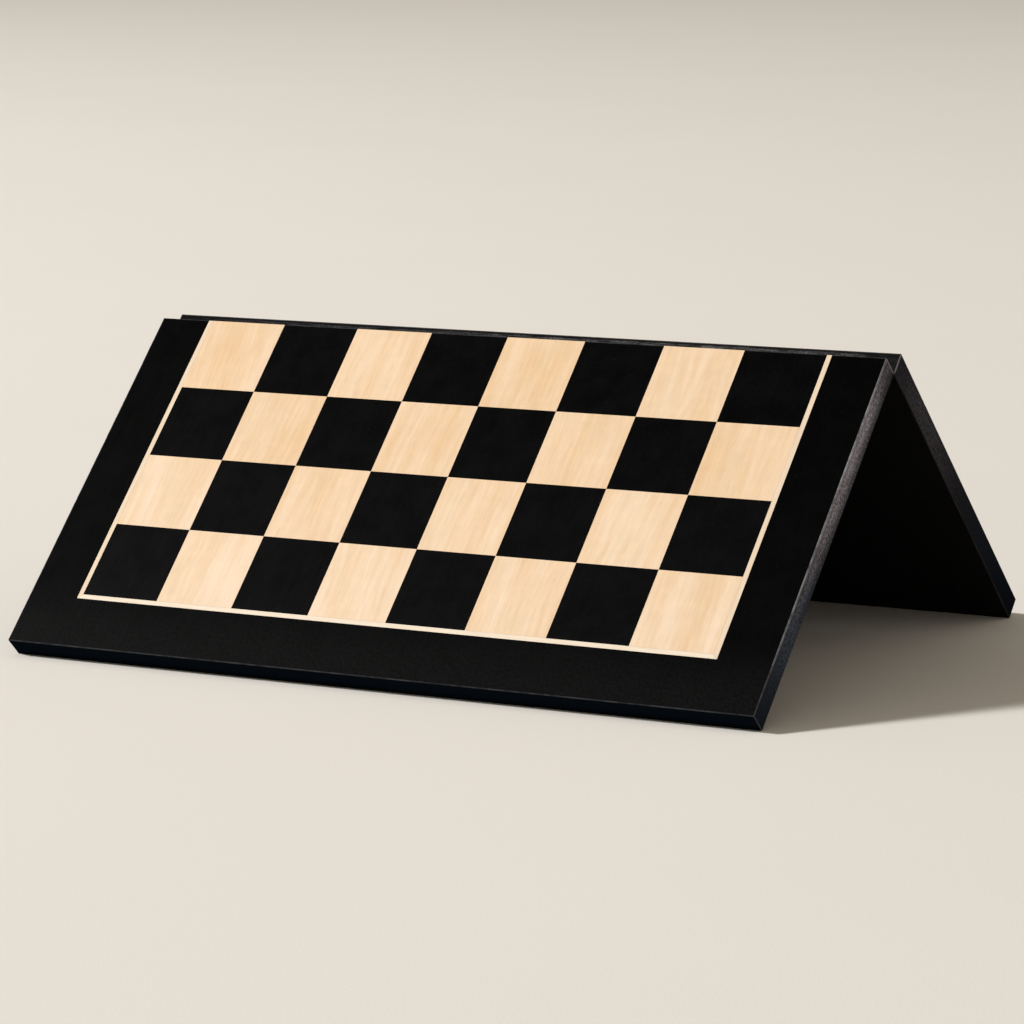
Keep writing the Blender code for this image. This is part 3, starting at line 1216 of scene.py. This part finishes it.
@dataclass(frozen=True)
class FieldFrame:
    """The pale inlay strips and the black border of one half."""

    half: Half
    workshop: Workshop
    arris_radius: float = 0.00045
    arris_steps: int = 5

    def build(self) -> None:
        """Makes the border and dresses the strips."""
        for strip in ("left", "right"):
            self.workshop.dress(f"{self.half.name}_{strip}_inlay", self.workshop.finishes.side_inlay)
        self.workshop.dress(f"{self.half.name}_outer_inlay", self.workshop.finishes.outer_inlay)
        self.build_border()

    def build_border(self) -> None:
        """The black veneer round three sides, with a rounded outer arris."""
        layout = self.half.layout
        end, corner, outer = layout.half_width, layout.eased_corner, layout.outer_edge
        inner = layout.field_width / 2 + layout.inlay_width + layout.glue_line / 2
        far = layout.field_end + layout.inlay_width + layout.glue_line / 2
        near = layout.fold_clearance
        outline = [
            (-end, near),
            (-inner, near),
            (-inner, far),
            (inner, far),
            (inner, near),
            (end, near),
            (end, outer - corner),
            (end - corner, outer),
            (corner - end, outer),
            (-end, outer - corner),
        ]
        bm = prism(outline, layout.face_base, layout.play_face, self.half.side)

        def on_rim(middle: Vector) -> bool:
            """True on the left, right and outer edges."""
            return abs(middle.x) > end - corner or abs(middle.y) > outer - corner

        ease(bm, layout.play_face, self.arris_radius, self.arris_steps, on_rim)
        name = f"{self.half.name}_border_veneer"
        node = f"{self.half.name}_border"
        self.workshop.add(name, bm, self.half, self.workshop.finishes.black_border, "border_veneer", node)


@dataclass(frozen=True)
class Panel:
    """The core and the backing of one half, which keep their shapes."""

    half: Half
    workshop: Workshop

    def build(self) -> None:
        """Dresses the core and the backing."""
        self.workshop.dress(f"{self.half.name}_core", self.workshop.finishes.fibreboard)
        self.workshop.dress(f"{self.half.name}_backing_sheet", self.workshop.finishes.backing)


@dataclass(frozen=True)
class HingeScrew:
    """A slotted countersunk wood screw, head down at the underside and point up in the core."""

    head_radius: float = 0.0018
    shank_radius: float = 0.0010
    root_radius: float = 0.00074
    head_rim: float = 0.00012
    plain_length: float = 0.0007
    pitch: float = 0.0009
    crest_sharpness: float = 1.6
    tip_length: float = 0.0022
    length: float = 0.0091
    slot_width: float = 0.0005
    slot_depth: float = 0.00045
    clearance: float = 0.0001
    facets: int = 24
    rings_per_turn: int = 10

    @property
    def head_depth(self) -> float:
        """Depth of the countersunk head."""
        return self.head_radius - self.shank_radius

    def radius(self, depth: float, turn: float) -> float:
        """Radius of the threaded part.

        Args:
            depth: Distance below the head's face.
            turn: Angle round the axis.

        Returns:
            The radius there.
        """
        start = self.head_depth + self.plain_length
        taper = min(1.0, (self.length - depth) / self.tip_length)
        entry = min(1.0, max(0.0, (depth - start) / self.pitch))
        phase = ((depth - start) / self.pitch - turn / math.tau) % 1.0
        crest = max(0.0, 1.0 - abs(2.0 * phase - 1.0) * self.crest_sharpness)
        plain = self.shank_radius + (self.root_radius - self.shank_radius) * entry
        return taper * (plain + (self.shank_radius - plain) * crest)

    def body(self) -> Mesh:
        """The screw about Z, its head's face at zero and its point above.

        Returns:
            The mesh, with its slot.
        """
        start = self.head_depth + self.plain_length
        count = round((self.length - start) / self.pitch * self.rings_per_turn)
        depths = [start + (self.length - start) * index / count for index in range(count)]
        turns = circle(self.facets)
        rim = self.head_radius - self.head_rim
        rings = [[(rim, 0.0)] * self.facets, [(self.head_radius, self.head_rim)] * self.facets]
        rings.append([(self.shank_radius, self.head_depth)] * self.facets)
        rings += [[(self.radius(depth, turn), depth) for turn in turns] for depth in depths]
        points = [[polar(*spot, turn) for spot, turn in zip(ring, turns)] for ring in rings]
        screw = skin(points, (0.0, 0.0, 0.0), (0.0, 0.0, self.length))
        reach, half_slot = 2 * self.head_radius, self.slot_width / 2
        slot = [(-reach, -half_slot), (reach, -half_slot), (reach, half_slot), (-reach, half_slot)]
        return combine(screw, [(Join.CUT, prism(slot, -self.slot_depth, self.slot_depth, 1))])

    def hole(self, thickness: float) -> Mesh:
        """The countersunk hole for this screw.

        Args:
            thickness: Thickness of the leaf, which lies on zero.

        Returns:
            The mesh to cut out of the leaf.
        """
        shank = self.shank_radius + self.clearance
        head = self.head_radius + self.clearance
        past = thickness + self.head_depth
        profile = [(head + shank, -shank), (shank, self.head_depth), (shank, past)]
        rings = [[polar(*spot, turn) for turn in circle(self.facets)] for spot in profile]
        return skin(rings, (0.0, 0.0, -shank), (0.0, 0.0, past))


@dataclass(frozen=True)
class ButtHinge:
    """One small butt hinge let into the undersides, with its pin and its screws."""

    name: str
    x: float
    workshop: Workshop
    screw: HingeScrew = HingeScrew()
    length: float = 0.030
    leaf_width: float = 0.012
    leaf_thickness: float = 0.0009
    corner_radius: float = 0.0016
    corner_steps: int = 6
    pin_radius: float = 0.0008
    pin_clearance: float = 0.00008
    pin_dome: float = 0.0003
    knuckles: int = 3
    knuckle_gap: float = 0.0002
    barrel_clearance: float = 0.0003
    tongue_shoulder: float = 0.0002
    screw_from_end: float = 0.006
    eased_edge: float = 0.00007
    facets: int = 48

    @property
    def bore(self) -> float:
        """Inner radius of the knuckles."""
        return self.pin_radius + self.pin_clearance

    @property
    def barrel(self) -> float:
        """Outer radius of the knuckles."""
        return self.bore + self.leaf_thickness

    @property
    def recess(self) -> float:
        """Out of the leaf's edge next to the barrel."""
        return self.barrel + self.barrel_clearance

    def knuckle_span(self, index: int) -> tuple[float, float]:
        """Where a knuckle starts and ends.

        Args:
            index: The knuckle, counted from the left.

        Returns:
            Its first and last x.
        """
        length = (self.length - (self.knuckles - 1) * self.knuckle_gap) / self.knuckles
        start = self.x - self.length / 2 + index * (length + self.knuckle_gap)
        return start, start + length

    def screw_places(self) -> list[Point]:
        """Where the screws of a leaf are.

        Returns:
            Their places as (x, out).
        """
        reach = self.length / 2 - self.screw_from_end
        out = (self.recess + self.leaf_width) / 2
        return [(self.x - reach, out), (self.x + reach, out)]

    def leaf_outline(self, knuckles: Sequence[int]) -> list[Point]:
        """Outline of a leaf with its tongues to the barrel.

        Args:
            knuckles: The knuckles that belong to this leaf.

        Returns:
            Its corners as (x, out), with rounded outer corners.
        """
        left, right = self.x - self.length / 2, self.x + self.length / 2
        outline = [(right, self.recess)]
        for middle, start in ((right - self.corner_radius, 0.0), (left + self.corner_radius, math.pi / 2)):
            for step in range(self.corner_steps + 1):
                turn = start + math.pi / 2 * step / self.corner_steps
                out = self.leaf_width - self.corner_radius + self.corner_radius * math.sin(turn)
                outline.append((middle + self.corner_radius * math.cos(turn), out))
        outline.append((left, self.recess))
        # A tongue ends inside the wall of its knuckle, so that the two join.
        tongue_end = self.bore + self.leaf_thickness / 3
        for index in knuckles:
            start, end = self.knuckle_span(index)
            start, end = start + self.tongue_shoulder, end - self.tongue_shoulder
            outline += [(start, self.recess), (start, tongue_end), (end, tongue_end), (end, self.recess)]
        return outline

    def rod(self, profile: Sequence[Point], closed: bool) -> Mesh:
        """A body turned about the fold axis.

        Args:
            profile: Its points as (x, radius), from left to right.
            closed: True for a tube, whose profile runs round in a ring.

        Returns:
            The mesh.
        """
        rings = []
        for x, radius in profile:
            ring = [(x, radius * math.cos(turn), radius * math.sin(turn)) for turn in circle(self.facets)]
            rings.append(ring)
        if closed:
            return skin(rings, None, None)
        left, right = profile[0][0] - self.pin_dome, profile[-1][0] + self.pin_dome
        return skin(rings, (left, 0.0, 0.0), (right, 0.0, 0.0))

    def build_leaf(self, half: Half, first_knuckle: int) -> None:
        """A leaf rolled round the pin at its own knuckles, with its screws.

        Args:
            half: The half that it is let into.
            first_knuckle: Its first knuckle; it has every second one from there.
        """
        base = half.layout.fold_clearance
        own = range(first_knuckle, self.knuckles, 2)
        plate = prism(self.leaf_outline(own), base, base + self.leaf_thickness, half.side)
        tools = []
        for index in own:
            start, end = self.knuckle_span(index)
            ring = [(start, self.bore), (start, self.barrel), (end, self.barrel), (end, self.bore)]
            tools.append((Join.UNION, self.rod(ring, True)))
        for x, out in self.screw_places():
            hole = self.screw.hole(self.leaf_thickness)
            hole.transform(Matrix.Translation((x, half.side * out, base)))
            tools.append((Join.CUT, hole))
        node = f"{self.name}_{half.name}_leaf"
        brass = self.workshop.finishes.brass
        leaf = self.workshop.add(f"{node}_brass", combine(plate, tools), half, brass, "hinge_leaf", node)
        smooth(leaf)
        round_off(leaf, self.eased_edge)
        for number, (x, out) in enumerate(self.screw_places(), 1):
            body = self.screw.body()
            body.transform(Matrix.Translation((x, half.side * out, base)) @ Matrix.Rotation(number, 4, "Z"))
            node = f"{self.name}_{half.name}_screw_{number}"
            smooth(self.workshop.add(f"{node}_brass", body, half, brass, "hinge_screw", node))

    def build(self, front: Half, rear: Half) -> None:
        """Makes the leaves, the pin and the screws.

        Args:
            front: The half with the outer knuckles, which carries the pin.
            rear: The half with the middle knuckle.
        """
        self.build_leaf(front, 0)
        self.build_leaf(rear, 1)
        left, right = self.x - self.length / 2, self.x + self.length / 2
        dome, shoulder = self.pin_dome, self.pin_radius - self.pin_dome / 2
        profile = [
            (left + dome, shoulder),
            (left + 2 * dome, self.pin_radius),
            (right - 2 * dome, self.pin_radius),
            (right - dome, shoulder),
        ]
        node, steel = f"{self.name}_pin", self.workshop.finishes.steel
        smooth(self.workshop.add(f"{node}_steel", self.rod(profile, False), front, steel, "hinge_pin", node))


@dataclass(frozen=True)
class SoftBox:
    """A square light that faces the board."""

    name: str
    place: tuple[float, float, float]
    size: float
    power: float
    colour: Colour

    def build(self, aim: Vector) -> None:
        """Hangs the light.

        Args:
            aim: The point that it faces.
        """
        light = bpy.data.lights.new(self.name, "AREA")
        light.shape = "SQUARE"
        light.size = self.size
        light.energy = self.power
        light.color = self.colour
        lamp = bpy.data.objects.new(self.name, light)
        lamp.location = self.place
        lamp.rotation_euler = (Vector(self.place) - aim).to_track_quat("Z", "Y").to_euler()
        bpy.context.scene.collection.objects.link(lamp)


@dataclass(frozen=True)
class Studio:
    """Floor, light and camera."""

    layout: BoardLayout
    azimuth: float = math.radians(29.1744)
    elevation: float = math.radians(9.5748)
    roll: float = math.radians(0.8057)
    aim: tuple[float, float, float] = (-0.00221, -0.00404, 0.07304)
    distance: float = 2.38483
    lens: float = 145.5623
    sensor: float = 36.0
    floor_size: float = 60.0
    key: SoftBox = SoftBox("key_light", (-10.32, -5.25, 8.60), 2.0, 2180.0, (1.0, 0.985, 0.965))
    glow_top: float = 0.55
    ceiling: Colour = (0.310, 0.275, 0.230)
    horizon: Colour = (0.640, 0.575, 0.495)

    def build(self) -> None:
        """Sets up the whole studio."""
        self.build_floor()
        self.build_sky()
        self.key.build(Vector(self.aim))
        self.build_camera()
        bpy.context.scene.view_settings.view_transform = "Standard"

    def build_floor(self) -> None:
        """A wide pale floor."""
        bm = bmesh.new()
        bmesh.ops.create_grid(bm, x_segments=1, y_segments=1, size=self.floor_size / 2)
        floor = loose_object("studio_floor", bm)
        floor.data.materials.append(StudioFloor("floor_paper", specular=0.05).material(self.layout))

    def build_sky(self) -> None:
        """A dim room, dark overhead and brighter towards the horizon."""
        world = bpy.data.worlds.new("studio_room")
        world.use_nodes = True
        bpy.context.scene.world = world
        graph = FinishGraph(world.node_tree)
        direction = graph.signal("ShaderNodeTexCoord", {}, {}, "Generated")
        height = graph.split(direction)[2]
        colour = graph.mix(height.rise(self.glow_top, 0.0), self.ceiling, self.horizon)
        shine = graph.signal("ShaderNodeBackground", {}, {"Color": colour, "Strength": 1.0})
        graph.node("ShaderNodeOutputWorld", {}, {"Surface": shine})

    def build_camera(self) -> None:
        """The camera at the photograph's angle."""
        away = Vector(
            (
                math.sin(self.azimuth) * math.cos(self.elevation),
                -math.cos(self.azimuth) * math.cos(self.elevation),
                math.sin(self.elevation),
            )
        )
        data = bpy.data.cameras.new("photo_camera")
        data.sensor_width = self.sensor
        data.lens = self.lens
        camera = bpy.data.objects.new("photo_camera", data)
        turn = away.to_track_quat("Z", "Y").to_matrix() @ Matrix.Rotation(-self.roll, 3, "Z")
        camera.matrix_world = Matrix.Translation(Vector(self.aim) + away * self.distance) @ turn.to_4x4()
        bpy.context.scene.collection.objects.link(camera)
        bpy.context.scene.camera = camera


def main() -> None:
    """Builds every piece in order."""
    logging.basicConfig(level=logging.INFO, format="%(message)s")
    layout = BoardLayout.from_joint(frame["joints"][0])
    workshop = Workshop(Finishes.make(layout))
    front, rear = Half("front", -1, layout), Half("rear", 1, layout)
    for half in (front, rear):
        Panel(half, workshop).build()
        FieldFrame(half, workshop).build()
        Chequer(half, workshop).build()
    hinge_x = layout.half_width - layout.hinge_from_end
    for name, x in (("left_hinge", -hinge_x), ("right_hinge", hinge_x)):
        ButtHinge(name, x, workshop).build(front, rear)
    Studio(layout).build()


if __name__ == "__main__":
    main()
